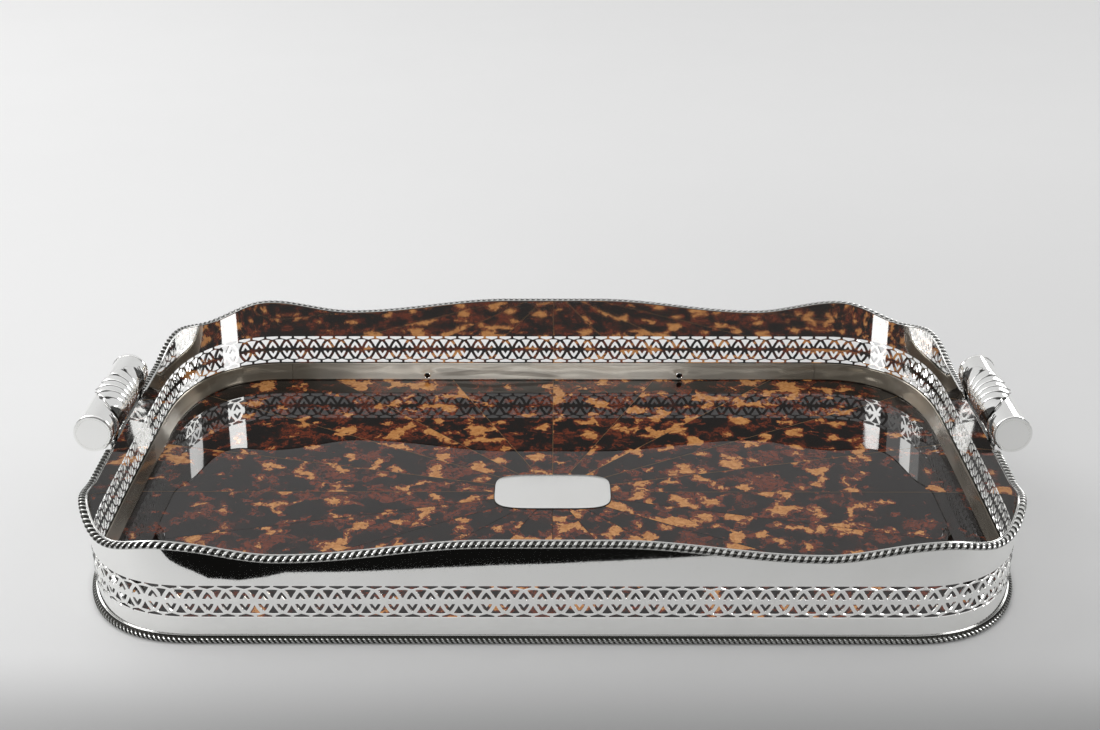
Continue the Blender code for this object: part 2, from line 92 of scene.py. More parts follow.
lower_rows = 3

# Gadroon rim and foot. A negative slant leans towards +X going up at the front. An arc is its centre, radii,
# first and last turn in degrees and number of points, and places are numbers of an outline's points.
rim_stop = 0.050
rim_lobe_pitch = 0.00445
rim_lobe_depth = 0.0012
rim_lobe_slant = -0.75
# The gleams set the painted highlight along each lobe; the rest of the lobe gets painted shade.
rim_gleam = 0.84
rim_lobe_arc = ((0.0016, -0.0023), (0.0027, 0.0021), -52, 145, 15)
rim_lobed_places = (0, 14)
rim_bead_arc = ((-0.0012, -0.0011), (0.00055, 0.0005), 20, 250, 7)
rim_underside = ((-0.0003, -0.0040), (0.0006, -0.0045))
rim_fillet_arc = ((0.0024, -0.00405), (0.0007, 0.00045), -90, 60, 6)
foot_lobe_pitch = 0.0032
foot_lobe_depth = 0.0009
foot_lobe_slant = 1.15
foot_gleam = 0.72
foot_gleam_narrowing = 0.70
foot_lobe_arc = ((0.0008, 0.0021), (0.0028, 0.0021), -75, 84, 13)
foot_lobed_places = (1, 13)
foot_bead_arc = ((0.0003, 0.0047), (0.0006, 0.0005), -30, 120, 6)
# Full painted shade on these foot places: a painted shadow in the groove between the lobes and the bead.
foot_shadow_places = (12, 13, 14, 15, 16)
foot_height = 0.0050
lobe_fullness = 0.55
lobe_curl = 1.25
lobe_fade = 0.4
# Strength of the painted shade off the highlight, and where the painted highlight lies on each lobe.
lobe_darkness = 0.92
gleam_shift = 0.38
gleam_rise = 0.10
gleam_softness = 0.22
samples_per_lobe = 10

# Strip beside the bed, and the pins through it. Outline shares are of the strip's projection and height.
bead_projection = 0.0036
bead_height = 0.0130
strip_toe_shares = ((0, 0), (-0.97, 0), (-1, 0.03), (-0.985, 0.08), (-0.93, 0.12))
strip_slope_low_shares = (-0.90, 0.15)
strip_slope_high_shares = (-0.12, 0.95)
strip_hollow_share = 0.05
strip_slope_points = 8
strip_top_shares = ((-0.06, 0.985), (0, 1))
strip_step = 0.0012
bead_pin_place_share = 0.348
bead_pin_height_share = 0.3
dish_depth = 0.0007
dish_half_length = 0.0050
dish_half_height = 0.0028
pin_shaft_radius = 0.0008
pin_head_height = 0.00055
pin_head_profile = ((pin_shaft_radius, 0.0), (0.0024, 0.0), (0.0027, 0.00015), (0.0027, 0.00040),
                    (0.00255, pin_head_height), (0.00230, 0.00058), (0.00215, 0.00045), (0.00205, 0.00010),
                    (0.00170, 0.00006), (0.0013, 0.00030), (0.0008, 0.00048), (0.0002, 0.00055))
# Painted shade over the pin head's sunk middle, from inside its raised ring to the centre.
pin_head_painted_shade = (0, 0, 0, 0, 0, 0, 0.9, 1, 1, 1, 0.95, 0.9)
pin_sides = 40

# Bed. Seam angles are shares of a quarter turn, and pale seams lie between two turns in radians. Each panel's
# pattern is shifted and turned by its number times these.
bed_centre_y = -0.006
seam_angle_shares = (0.0, 0.165, 0.345, 0.535, 0.75)
seam_line = 0.00018
pale_seam_turns = (0.15, 3.0)
board_lift = 0.0004
board_thickness = 0.0020
veneer_thickness = 0.0005
panel_count = 20
panel_shift = (0.37, 0.21, 0.0)
panel_turn = 2.4
name_plate_length = 0.084
name_plate_width = 0.053
name_plate_fullness = 4.5
name_plate_rise = 0.0006
name_plate_dome = 0.0006
name_plate_sides = 160
name_plate_edge_points = 6
name_plate_dome_rings = 7
# Painted shade on the plate's foot and rounded edge: a painted shadow gap where it sits in the veneer.
name_plate_foot_painted_shade = (1, 1, 1, 1, 1, 0.6, 0.25)

# Grips and their caps. The cap's face is given as distances in from its edge and down from its face.
grip_radius = 0.0129
grip_length = 0.109
grip_overhang = 0.0045
grip_clearance = 0.0010
grip_wall = 0.0008
grip_bevel = 0.0002
grip_sides = 96
cap_thickness = 0.0024
cap_lip = 0.0004
cap_spigot = 0.006
cap_face = ((0, 0.0006), (0.0002, 0.0002), (0.0006, 0), (0.0016, 0), (0.0019, 0.0005), (0.0024, 0.0005),
            (0.0027, 0), (0.0060, 0))
cap_middle_radius = 0.0005
turned_sharp_angle = 32

# Leaf mounts. Wrap shares are of a half turn, vein and groove widths of a lobe's pitch, and rise shares of
# the way up the plate.
mount_thickness = 0.0015
mount_skirt = 0.013
mount_half_width = 0.046
mount_columns = 277
mount_rows = 91
mount_sharp_angle = 50
fan_half_width = 0.036
fan_wrap_low_share = 0.30
fan_wrap_high_share = 0.78
fan_wrap_fall = 1.5
fan_scallop_share = 0.16
fan_scallop_fullness = 0.6
fan_thickness = 0.0006
lobe_count = 7
lobe_height = 0.0006
lobe_close_depth = 0.020
lobe_close_share = 0.35
lobe_start_height = 0.003
vein_depth = 0.0002
vein_width_share = 0.04
vein_stop_rise_share = 0.75
vein_fade_rise_share = 0.2
# Painted shade in the lobes' veins.
vein_painted_shade = 0.35
groove_width_share = 0.045
groove_flare_share = 0.075
groove_start_rise_share = 0.12
groove_fade_rise_share = 0.1
tip_start_rise_share = 0.80
tip_fade_rise_share = 0.12
edge_band = 0.0012
edge_sink_share = 0.35
# Painted shade along the plate's edge near its top, and over the skirt on the wall under the grip.
edge_painted_shade = 0.8
edge_start_rise_share = 0.9
skirt_painted_shade = 0.9
end_leaf_turn = math.radians(38)
end_leaf_lift = 0.0010
end_leaf_sharpness = 0.7
end_leaf_height = 0.0005
end_vein_width = 0.0007
# Painted shade in the end leaves' veins.
end_vein_painted_shade = 0.45

# Gap between pieces that touch, and the angle in degrees over which an edge stays sharp
touch_gap = 0.0003
sharp_angle = 38

# Paper sweep, and a dark card on it that only reflections see, with its corners listed round it
sweep_front = -2.6
sweep_back = 2.2
sweep_radius = 1.2
sweep_top = 3.4
sweep_half_width = 4.0
sweep_points = 48
card_lift = 0.0005
card_corners = ((-0.60, -0.90), (0.30, -0.90), (0.150, -0.340), (0.117, -0.306), (0.069, -0.3005),
                (0.032, -0.297), (-0.068, -0.288), (-0.146, -0.2805), (-0.175, -0.2805), (-0.189, -0.2735),
                (-0.204, -0.2695), (-0.225, -0.272), (-0.238, -0.283), (-0.254, -0.288), (-0.274, -0.291),
                (-0.304, -0.300), (-0.42, -0.40))

# Light. The surround's dark part fades out backwards and upwards over these directions. A panel is both its
# ends seen from above and its glow, in multiples of white.
surround_light = 0.84
surround_seen = 0.95
surround_dark = 0.16
dark_fade_back = (0.30, 0.80)
dark_fade_up = (0.50, 0.85)
key_place = (-1.5, 0.9, 1.7)
key_size = (2.2, 1.8)
key_power = 11
panel_height = 0.44
panel_level = 0.59
panel_places = ((-1.00, -0.81, -1.25, -0.20, 8.0), (0.87, -0.84, 1.20, -0.28, 8.0),
                (-1.15, 0.73, -0.92, 1.07, 5.0), (0.74, 1.26, 1.07, 0.87, 5.0))

# Camera at the photograph's place. Turns are in radians, and the focal length in the photograph's pixels.
camera_elevation = 0.403875
camera_yaw = -0.004668
camera_roll = -0.001151
camera_place = (0.003265, -1.080652, 0.561762)
focal_pixels = 1677.2
frame_width_pixels = 1100


def tone(red, green, blue):
    """Linear colour of an sRGB colour given as three levels from 0 to 255."""
    levels = np.array((red, green, blue)) / 255
    linear = np.where(levels <= 0.04045, levels / 12.92, ((levels + 0.055) / 1.055) ** 2.4)
    return (*linear.tolist(), 1.0)


class Wire:
    """An output socket. Operators on it add Math nodes, so that shader maths reads as plain expressions."""

    def __init__(self, paint, socket):
        self.paint = paint
        self.socket = socket

    def maths(self, operation, *values, swap=False):
        """A Math node on this socket and then the values, or the other way round if swap."""
        order = values[::-1] + (self,) if swap else (self,) + values
        return self.paint.add("ShaderNodeMath", {"operation": operation}, dict(enumerate(order)))

    def __add__(self, other):
        return self.maths("ADD", other)

    def __radd__(self, other):
        return self.maths("ADD", other)

    def __sub__(self, other):
        return self.maths("SUBTRACT", other)

    def __rsub__(self, other):
        return self.maths("SUBTRACT", other, swap=True)

    def __mul__(self, other):
        return self.maths("MULTIPLY", other)

    def __rmul__(self, other):
        return self.maths("MULTIPLY", other)

    def __abs__(self):
        return self.maths("ABSOLUTE")

    def least(self, other):
        return self.maths("MINIMUM", other)

    def most(self, other):
        return self.maths("MAXIMUM", other)

    def step(self, low, high):
        """0 below low, 1 above high, and a smooth change between."""
        return self.paint.add("ShaderNodeMapRange", {"interpolation_type": "SMOOTHSTEP"},
                              {"Value": self, "From Min": low, "From Max": high})


class Paint:
    """The node tree of a new material, or of the world if its tree is given."""

    def __init__(self, name, tree=None):
        if tree is None:
            self.material = bpy.data.materials.new(name)
            self.material.use_nodes = True
            tree = self.material.node_tree
        self.tree = tree
        self.tree.nodes.clear()

    def add(self, kind, settings=None, values=None, output=0):
        """Adds a node: its settings are set first, then the values or links of its sockets."""
        node = self.tree.nodes.new(kind)
        for key, value in (settings or {}).items():
            setattr(node, key, value)
        for key, value in (values or {}).items():
            socket = node.inputs[key]
            if isinstance(value, Wire):
                self.tree.links.new(value.socket, socket)
            else:
                socket.default_value = value
        return Wire(self, node.outputs[output])

    def place(self):
        """Object coordinates: metres in the tray's frame."""
        return self.add("ShaderNodeTexCoord", output="Object")

    def axes(self, vector):
        """The three parts of a vector."""
        parts = self.add("ShaderNodeSeparateXYZ", None, {"Vector": vector}).socket.node
        return [Wire(self, output) for output in parts.outputs]

    def turned(self, vector, location=(0, 0, 0), rotation=(0, 0, 0), scale=(1, 1, 1)):
        """A vector scaled, turned and then moved."""
        return self.add("ShaderNodeMapping", None,
                        {"Vector": vector, "Location": location, "Rotation": rotation, "Scale": scale})

    def noise(self, vector, scale, detail=2.0, roughness=0.5, distortion=0.0, output="Fac"):
        return self.add("ShaderNodeTexNoise", None,
                        {"Vector": vector, "Scale": scale, "Detail": detail, "Roughness": roughness,
                         "Distortion": distortion}, output)

    def mixed(self, share, first, second):
        """Colour that goes from first to second as share goes from 0 to 1."""
        return self.add("ShaderNodeMix", {"data_type": "RGBA"}, {"Factor": share, 6: first, 7: second}, 2)

    def attribute(self, name):
        return self.add("ShaderNodeAttribute", {"attribute_name": name}, output="Fac")

    def bump(self, height, distance, strength=1.0, normal=None):
        """Normal of a surface raised by height times distance, on top of another bump's normal if given."""
        values = {"Height": height, "Distance": distance, "Strength": strength}
        if normal is not None:
            values["Normal"] = normal
        return self.add("ShaderNodeBump", None, values)

    def surface(self, **values):
        """Ends the material with a Principled shader. Socket names are given with _ for a space."""
        named = {key.replace("_", " "): value for key, value in values.items()}
        self.end("ShaderNodeOutputMaterial", self.add("ShaderNodeBsdfPrincipled", None, named))
        return self.material

    def end(self, kind, shader):
        """Links a shader to a new output node of the given kind."""
        out = self.tree.nodes.new(kind)
        self.tree.links.new(shader.socket, out.inputs["Surface"])


def scratches(paint, place, scale):
    """Fine polishing marks: noise drawn out along three directions, of which the strongest counts."""
    marks = None
    for turn, stretch in ((0.3, 0.05), (1.4, 0.08), (2.5, 0.04)):
        drawn = paint.turned(place, rotation=(0.2, 0.4, turn), scale=(scale, scale * stretch, scale))
        line = paint.noise(drawn, 1.0, detail=1.0).step(0.62, 0.72)
        marks = line if marks is None else marks.most(line)
    return marks


def silver(name, shade=(0.94, 0.94, 0.925), roughness=0.05, with_painted_shade=False):
    """Polished silver plate: uneven sheet, fine scratches, faint tarnish, and painted shade from the
    painted_shade attribute if with_painted_shade.
    """
    paint = Paint(name)
    place = paint.place()
    marks = scratches(paint, place, 900)
    clouds = paint.noise(place, 22, detail=4, roughness=0.6)
    specks = paint.noise(place, 420, detail=2).step(0.66, 0.74)
    tarnish = clouds.step(0.45, 0.75) * 0.08 + specks * 0.06
    colour = paint.mixed(tarnish, (*shade, 1), (shade[0] * 0.62, shade[1] * 0.60, shade[2] * 0.54, 1))
    rough = roughness + marks * 0.04 + clouds * 0.02
    if with_painted_shade:
        # The painted_shade attribute darkens the colour towards near black and roughens it: painted shade.
        depth = paint.attribute("painted_shade")
        colour = paint.mixed(depth.step(0.15, 0.75), colour, (0.030, 0.030, 0.027, 1))
        rough = rough + depth * 0.12
    normal = paint.bump(paint.noise(place, 9, detail=2), 0.0009, strength=0.35)
    normal = paint.bump(marks, 0.00001, strength=0.08, normal=normal)
    return paint.surface(Base_Color=colour, Metallic=1.0, Roughness=rough, Normal=normal)


def worn_strip_with_painted_reflection():
    """Dull strip beside the bed: warm silver with streaks and rub marks, bright only over a middle stretch
    along X as a painted reflection of a light, and darker towards corners and ends.
    """
    paint = Paint("silver_worn_painted_reflection")
    place = paint.place()
    rubs = paint.noise(paint.turned(place, scale=(1, 1, 0.12)), 160, detail=1)
    broad = paint.noise(place, 9, detail=1).step(0.42, 0.60)
    x = paint.axes(place)[0]
    # Painted reflection: bright over a middle stretch along X, and painted dark reflections elsewhere, varied
    # at random.
    bright = x.step(-0.185, -0.135) * (1 - x.step(0.075, 0.125))
    drawn = paint.turned(place, scale=(0.09, 0.09, 1))
    streaks = paint.noise(drawn, 105, detail=3, roughness=0.5, distortion=0.5)
    colour = paint.mixed(rubs.step(0.45, 0.75) * 0.2, (0.97, 0.91, 0.81, 1), (0.78, 0.72, 0.62, 1))
    colour = paint.mixed((1 - bright * 0.90) * (0.72 + broad * 0.26), colour, (0.18, 0.155, 0.12, 1))
    colour = paint.mixed(streaks.step(0.60, 0.68) * 0.55, colour, (0.16, 0.13, 0.10, 1))
    swell = paint.noise(paint.turned(place, scale=(0.25, 0.25, 1)), 90, detail=1)
    return paint.surface(Base_Color=colour, Metallic=0.60, Roughness=0.11 + rubs * 0.08,
                         Normal=paint.bump(swell, 0.0018, strength=0.5))


def tortoiseshell(name, shift, turn, seams, line_colour):
    """Glossy mottled veneer: sharp amber flecks and soft red-brown clouds on near black, lined at its seams.

    Amber is where one warped noise is over its threshold, and brown where another is or where amber is near.
    Both thin out towards the tray's ends, and towards the front as painted shade under the front wall. The
    lines are where the distance to a seam, |y cos a - x sin a| about the bed's middle, is small.
    """
    paint = Paint(name)
    middle = paint.turned(paint.place(), location=(0, -bed_centre_y, 0))
    place = paint.turned(middle, location=shift, rotation=(0, 0, turn))
    warp = paint.noise(place, 75, detail=4, roughness=0.7, output="Color")
    bent = paint.add("ShaderNodeVectorMath", {"operation": "MULTIPLY_ADD"},
                     {0: warp, 1: (0.018, 0.018, 0), 2: place})
    x, y = paint.axes(middle)[:2]
    # The pattern thins towards the ends, and towards the front as painted shade under the front wall.
    ends = (abs(x).step(0.19, 0.28) * 0.05).most((1 - y.step(-0.135, -0.105)) * 0.045)
    blotch = paint.noise(bent, 60, detail=4, roughness=0.55) + paint.noise(place, 11, detail=1) * 0.20 - ends
    cloud = paint.noise(bent, 34, detail=5, roughness=0.68) - ends
    fine = paint.noise(bent, 300, detail=3, roughness=0.65)
    brown = paint.mixed(fine.step(0.32, 0.66), tone(58, 24, 16), tone(124, 54, 28))
    amber = paint.mixed(fine.step(0.36, 0.68), tone(172, 112, 58), tone(204, 148, 90))
    share = ((cloud + fine * 0.10).step(0.560, 0.660) * 0.85).most((blotch + fine * 0.06).step(0.630, 0.695))
    colour = paint.mixed(share, tone(20, 14, 12), brown)
    colour = paint.mixed((blotch + fine * 0.04).step(0.702, 0.718), colour, amber)
    nearest = None
    for angle in seams:
        distance = abs(y * math.cos(angle) - x * math.sin(angle))
        nearest = distance if nearest is None else nearest.least(distance)
    line = (1 - nearest.step(seam_line, seam_line * 1.6)) * 0.6
    colour = paint.mixed(line, colour, line_colour)
    dust = paint.noise(place, 1500, detail=1).step(0.70, 0.78)
    colour = paint.mixed(dust * 0.06, colour, tone(190, 180, 170))
    normal = paint.bump(paint.noise(middle, 30, detail=2), 0.0002, strength=0.10)
    return paint.surface(Base_Color=colour, Roughness=0.40 + dust * 0.2, Specular_IOR_Level=0.0,
                         Coat_Weight=0.80, Coat_Roughness=0.015, Normal=normal)


def board_wood():
    """Plain sealed board: long grain with darker pores."""
    paint = Paint("board_wood")
    place = paint.place()
    drawn = paint.turned(place, scale=(0.06, 1, 1))
    grain = paint.noise(drawn, 320, detail=4, roughness=0.6)
    rings = paint.noise(drawn, 60, detail=2)
    pores = paint.noise(paint.turned(place, scale=(0.02, 1, 1)), 1500, detail=1).step(0.62, 0.7)
    colour = paint.mixed(grain * 0.7 + rings * 0.3, tone(112, 78, 50), tone(168, 128, 88))
    colour = paint.mixed(pores * 0.5, colour, tone(70, 46, 28))
    return paint.surface(Base_Color=colour, Roughness=0.55 + grain * 0.15, Normal=paint.bump(grain, 0.0001))


def sweep_paint():
    """Pale grey paper with painted light: a little darker towards the right and lighter towards the back as
    painted falloff of the light, painted shade in front of and under the tray, and a soft grey band in front
    of the tray as a painted shadow, strongest to camera rays.
    """
    paint = Paint("sweep_paper")
    place = paint.place()
    x, y = paint.axes(place)[:2]
    rightwards = x.step(-0.45, 0.35)
    camera_ray = paint.add("ShaderNodeLightPath", output="Is Camera Ray")
    # Painted shadow: a soft band in front of the tray, strongest to camera rays.
    front = (1 - y.step(-0.31, -0.205)) * y.step(-0.85, -0.31) * (0.30 + 0.70 * camera_ray)
    # Painted falloff of the light: darker towards the right, and lighter towards the back.
    near = paint.mixed(rightwards, tone(242, 242, 242), tone(226, 226, 226))
    far = paint.mixed(x.step(-1.9, 0.3), tone(247, 247, 247), tone(235, 235, 235))
    colour = paint.mixed(y.step(0.15, 1.0), near, far)
    # Painted shade on the paper in front of and under the tray, stronger to the right.
    near_shade = (0.10 + rightwards * 0.13) * (1 - y.step(-0.30, 0.10)) * y.step(-0.80, -0.40)
    colour = paint.mixed(near_shade, colour, tone(84, 84, 84))
    colour = paint.mixed(front * (0.70 + x.step(-0.42, 0.0) * 0.28), colour, tone(152, 152, 152))
    colour = paint.mixed(paint.noise(place, 6, detail=2) * 0.03, colour, tone(150, 150, 150))
    return paint.surface(Base_Color=colour, Roughness=1.0, Specular_IOR_Level=0.0)


class Plan:
    """The gallery's outer face seen from above: straight sides, superellipse corners and slightly bowed ends.

    A corner runs through x = a + l sin(t)^(2/n), y = b + w cos(t)^(2/n), and a parabola draws in each end.
    """

    def __init__(self):
        half_l = tray_length / 2
        half_w = tray_width / 2
        t = np.linspace(0, math.pi / 2, plan_samples)
        power = 2 / corner_fullness
        corner_x = half_l - corner_length + corner_length * np.sin(t) ** power
        corner_y = half_w - corner_width + corner_width * np.maximum(np.cos(t), 0) ** power
        front_x = np.linspace(0, half_l - corner_length, plan_samples)[:-1]
        end_y = np.linspace(half_w - corner_width, 0, plan_samples)[1:]
        x = np.concatenate([front_x, corner_x, np.full_like(end_y, half_l)])
        y = np.concatenate([np.full_like(front_x, half_w), corner_y, end_y])
        x = x * (1 - end_bow / half_l * (y / half_w) ** 2)
        loop_x = np.concatenate([x, x[-2::-1], -x[1:], -x[-2::-1]])
        loop_y = np.concatenate([-y, y[-2::-1], y[1:], -y[-2::-1]])
        self.run = np.concatenate([[0.0], np.cumsum(np.hypot(np.diff(loop_x), np.diff(loop_y)))])
        self.x = loop_x
        self.y = loop_y
        self.length = float(self.run[-1])
        self.quarter = self.length / 4
        self.corner_start = float(self.run[plan_samples - 1])
        tangent_x = np.gradient(loop_x, self.run)
        tangent_y = np.gradient(loop_y, self.run)
        size = np.hypot(tangent_x, tangent_y)
        self.out_x = tangent_y / size
        self.out_y = -tangent_x / size

    def at(self, s, out):
        """Points at run lengths s, moved outwards by out: arrays of x and y."""
        s = np.mod(s, self.length)
        out_x = np.interp(s, self.run, self.out_x)
        out_y = np.interp(s, self.run, self.out_y)
        return np.interp(s, self.run, self.x) + out * out_x, np.interp(s, self.run, self.y) + out * out_y

    def rim(self, s):
        """Height of the wavy rim: cosine blends between the named crests and dips."""
        place = np.abs(np.mod(s + self.quarter, 2 * self.quarter) - self.quarter) / self.quarter
        places = np.array(wave_place_shares)
        heights = np.array(wave_height_shares) * rim_height
        i = np.clip(np.searchsorted(places, place, side="right") - 1, 0, len(places) - 2)
        t = (place - places[i]) / (places[i + 1] - places[i])
        return heights[i] + (heights[i + 1] - heights[i]) * (1 - np.cos(math.pi * t)) / 2


def lean(z):
    """Outward lean of the wall at height z: a parabola that ends upright at the rim's crests."""
    return wall_flare * (1 - (1 - z / rim_height) ** 2)


def make_piece(name, points, faces, material, nodes, painted_shade=None, angle=sharp_angle):
    """Makes a closed mesh from an array of points and a list of face arrays, and hands it to the frame.

    The faces already run the same way round. All are turned where the signed volume says that they point in.
    """
    volume = 0.0
    for group in faces:
        for k in range(1, group.shape[1] - 1):
            a, b, c = (points[group[:, i]] for i in (0, k, k + 1))
            volume += float(np.einsum("ij,ij->", a, np.cross(b, c)))
    turned_faces = [group[:, ::-1] if volume < 0 else group for group in faces]
    mesh = bpy.data.meshes.new(name)
    mesh.from_pydata(points.tolist(), [], sum((group.tolist() for group in turned_faces), []))
    if painted_shade is not None:
        layer = mesh.attributes.new("painted_shade", "FLOAT", "POINT")
        layer.data.foreach_set("value", np.clip(painted_shade, 0, 1).astype(np.float32).ravel())
    mesh.materials.append(material)
    mesh.shade_smooth()
    mesh.set_sharp_from_angle(angle=math.radians(angle))
    obj = bpy.data.objects.new(name, mesh)
    bpy.context.scene.collection.objects.link(obj)
    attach(obj, "root")
    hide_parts(*nodes)
    return obj


def grid_faces(rows, columns, around=False):
    """Quads of a grid of rows by columns points, closed along the columns if around."""
    i, j = np.meshgrid(np.arange(rows - 1), np.arange(columns if around else columns - 1), indexing="ij")
    k = (j + 1) % columns
    here = i * columns
    after = (i + 1) * columns
    return np.stack([here + j, after + j, after + k, here + k], -1).reshape(-1, 4)


def loft(name, rings, material, nodes, painted_shade=None, angle=sharp_angle, middles=None):
    """A closed piece from rings of points, an array of (ring, place, 3), with a fan at each end."""
    count, size = rings.shape[:2]
    points = rings.reshape(-1, 3)
    if middles is None:
        middles = np.stack([rings[0].mean(0), rings[-1].mean(0)])
    total = len(points)
    around = np.arange(size)
    after = (around + 1) % size
    last_ring = total - size
    first_fan = np.stack([np.full(size, total), around, after], 1)
    last_fan = np.stack([np.full(size, total + 1), after + last_ring, around + last_ring], 1)
    if painted_shade is not None:
        painted_shade = np.concatenate([np.broadcast_to(painted_shade, (count, size)).ravel(), [0, 0]])
    faces = [grid_faces(count, size, True), first_fan, last_fan]
    return make_piece(name, np.concatenate([points, middles]), faces, material, nodes, painted_shade, angle)


def shell(name, top, under, material, nodes, painted_shade=None, angle=sharp_angle):
    """A closed piece from two grids of points, top and under, joined round their edge."""
    rows, columns = top.shape[:2]
    total = rows * columns
    upper = grid_faces(rows, columns)
    lower = upper[:, ::-1] + total
    index = np.arange(total).reshape(rows, columns)
    edge = np.concatenate([index[0, :-1], index[:-1, -1], index[-1, :0:-1], index[:0:-1, 0]])
    after = np.roll(edge, -1)
    side = np.stack([edge, after, after + total, edge + total], 1)
    points = np.concatenate([top.reshape(-1, 3), under.reshape(-1, 3)])
    if painted_shade is not None:
        painted_shade = np.concatenate([painted_shade.ravel(), np.zeros(total)])
    return make_piece(name, points, [upper, lower, side], material, nodes, painted_shade, angle)


def whole_ring(right_half, middle):
    """A closed ring of (share along, share up) from its right half, mirrored about its middle."""
    right = np.array(right_half, float)
    left = right[-2:0:-1] * (-1, 1)
    return np.concatenate([right, left]) + (middle, 0)


def pierced_cell():
    """Rings of one repeat of the piercing: pairs of arrays, border and hole, all anticlockwise."""
    rings = []
    openings = ((slit_border_shares, slit_hole_shares, slit_middle_share),
                (fan_border_shares, fan_hole_shares, fan_middle_share),
                (chevron_border_shares, chevron_hole_shares, chevron_middle_share))
    for border_half, hole_half, middle in openings:
        border = whole_ring(border_half, middle)
        hole = whole_ring(hole_half, middle)
        rings.append((border[::-1], hole[::-1]))
        rings.append((border * (1, -1) + (0, 1), hole * (1, -1) + (0, 1)))
    return rings


def both_sides(flat):
    """Quads of (along, up) as quads of (along, up, side): once outside, and once inside turned round."""
    outer = np.concatenate([flat, np.zeros((*flat.shape[:2], 1))], 2)
    inner = np.concatenate([flat[:, ::-1], np.ones((*flat.shape[:2], 1))], 2)
    return [outer, inner]


def gallery(plan, material):
    """Pierced wall: rings of quads round each opening, plain sheet over and under the band, on both sides.

    A place is (share along in pitches, level up, side). Levels are shares of the band's height inside the
    band, 2 to 3 from the band to the rim and -3 to -2 from the foot to the band. Equal places are merged.
    """
    quads = []
    for border, hole in pierced_cell():
        after = np.roll(border, -1, axis=0)
        hole_after = np.roll(hole, -1, axis=0)
        quads += both_sides(np.stack([border, after, hole_after, hole], 1))
        wall = np.stack([hole, hole_after, hole_after, hole], 1)
        depth = np.broadcast_to(np.array([0.0, 0.0, 1.0, 1.0])[None, :, None], (len(hole), 4, 1))
        quads.append(np.concatenate([wall, depth], 2))
    edge = 1 + sheet_edge_share
    columns = np.arange(-0.5, 0.5, sheet_column_share)
    upper = np.concatenate([[edge], 2 + np.linspace(0, 1, upper_rows + 1)[1:]])
    lower = np.concatenate([-3 + np.linspace(0, 1, lower_rows + 1)[:-1], [1 - edge]])
    for levels in (upper, lower):
        u, v = (grid.ravel() for grid in np.meshgrid(columns, levels[:-1], indexing="ij"))
        w = np.tile(levels[1:], len(columns))
        right = u + sheet_column_share
        corners = ((u, v), (right, v), (right, w), (u, w))
        quads += both_sides(np.stack([np.stack(corner, 1) for corner in corners], 1))
    for level, order in ((upper[-1], 1), (lower[0], -1)):
        corners = np.array([(0.0, level, 0.0), (sheet_column_share, level, 0.0),
                            (sheet_column_share, level, 1.0), (0.0, level, 1.0)])[::order]
        quads.append(corners[None] + columns[:, None, None] * np.array([1.0, 0.0, 0.0]))
    cell = np.concatenate(quads)
    tiles = cell[None] + np.arange(repeats)[:, None, None, None] * np.array([1.0, 0.0, 0.0])
    places = np.round(tiles.reshape(-1, 3), 4)
    places[:, 0] = np.round(np.mod(places[:, 0], repeats), 4)
    places, index = np.unique(places, axis=0, return_inverse=True)
    along, level, side = places.T
    s = (along + 0.5) * plan.length / repeats
    at_grips = np.abs(np.mod(s, 2 * plan.quarter) - plan.quarter) < rim_stop
    top = plan.rim(s) - np.where(at_grips, 0, rim_cover)
    band_top = band_bottom + edge * band_height
    band_low = band_bottom - sheet_edge_share * band_height
    z = np.where(level >= 2, band_top + (level - 2) * (top - band_top),
                 np.where(level <= -2, wall_lift + (level + 3) * (band_low - wall_lift),
                          band_bottom + level * band_height))
    x, y = plan.at(s, lean(z) - side * wall_thickness)
    nodes = ("gallery_front", "gallery_right_end", "gallery_back", "gallery_left_end")
    return make_piece("pierced_gallery", np.stack([x, y, z], 1), [index.reshape(-1, 4)], material,
                      nodes)


def moulding(plan, name, outline, start, stop, base_out, height, material, node, step, relief):
    """A closed outline carried round the plan from start to stop, at height, a function of run length.

    The outline is an array of (out, up), anticlockwise. relief(s, place) gives how far each point sinks along
    the outline's normal, and the painted shade there. The place is the point's number in the outline.
    """
    s = np.linspace(start, stop, max(2, math.ceil((stop - start) / step) + 1))[:, None]
    chord = np.roll(outline, -1, axis=0) - np.roll(outline, 1, axis=0)
    size = np.hypot(chord[:, 0], chord[:, 1])
    sink, painted_shade = relief(s, np.arange(len(outline))[None, :])
    low = height(s)
    out = base_out + lean(low) + outline[:, 0] - sink * chord[:, 1] / size
    up = low + outline[:, 1] + sink * chord[:, 0] / size
    x, y = plan.at(s, out)
    return loft(name, np.stack([x, y, up], -1), material, (node,), painted_shade)


